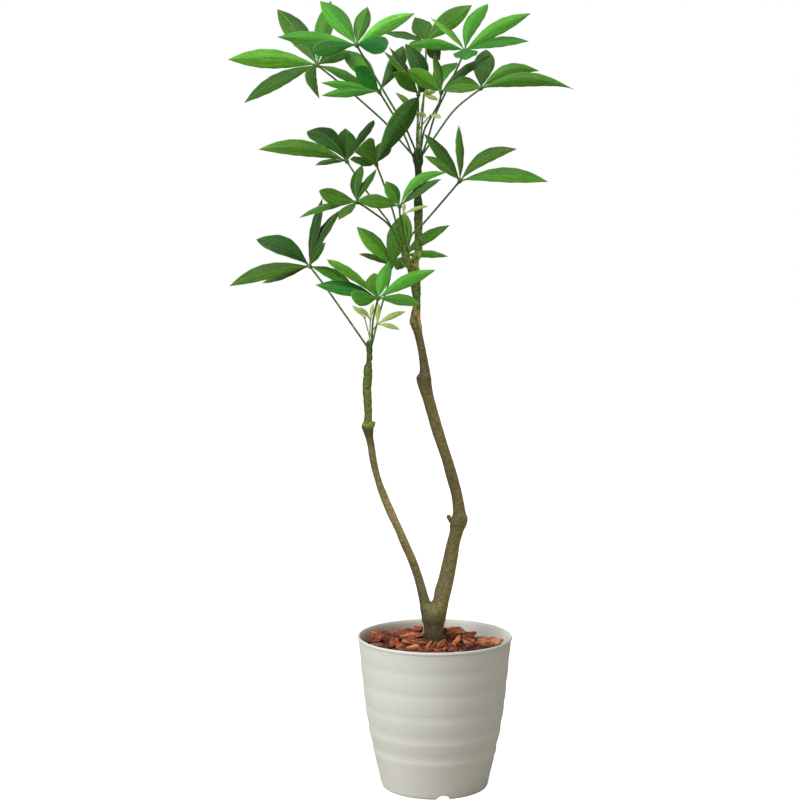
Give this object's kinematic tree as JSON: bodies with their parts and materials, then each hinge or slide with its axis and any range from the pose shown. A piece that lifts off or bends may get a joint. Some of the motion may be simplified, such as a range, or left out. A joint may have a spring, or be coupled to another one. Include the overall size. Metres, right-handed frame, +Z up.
{
  "type": "potted money tree",
  "caption": "Potted money tree: a forked woody trunk with palmate leaves on long stalks, in a banded tapered plastic pot topped with bark chips.",
  "frame": {"origin": "middle of the pot's underside, on the centre boss that is level with the foot ring", "axes": "+Z up the plant, -Y toward the front seen in the picture, +X to the right of that view"},
  "size_m": [0.664, 0.4906, 1.528],
  "materials": {
    "pot": "smooth matt moulded plastic",
    "soil": "dark crumbly potting soil",
    "bark": "rough red-brown bark",
    "trunk": "grey-brown ringed bark, green on young growth",
    "leaf": "leathery green leaf with a soft sheen",
    "young": "pale yellow-green young leaf"
  },
  "bodies": {
    "root": {"pot": "pot", "soil": "soil", "bark_chips": "bark", "trunk": "trunk", "leaf_crown_far_left": "leaf", "leaf_crown_left_front": "leaf", "leaf_crown_left_back": "leaf", "leaf_crown_centre": "leaf", "leaf_crown_centre_back": "leaf", "leaf_crown_centre_front": "leaf", "leaf_crown_right": "leaf", "leaf_crown_far_right": "leaf", "leaf_branch_right": "leaf", "leaf_branch_upright": "leaf", "leaf_branch_far_left": "leaf", "leaf_branch_left": "leaf", "leaf_branch_front": "leaf", "leaf_branch_back": "leaf", "leaf_stem_far_left": "leaf", "leaf_stem_front": "leaf", "leaf_stem_back": "leaf", "young_crown": "young", "young_branch": "young", "young_stem": "young"}
  },
  "joints": []
}
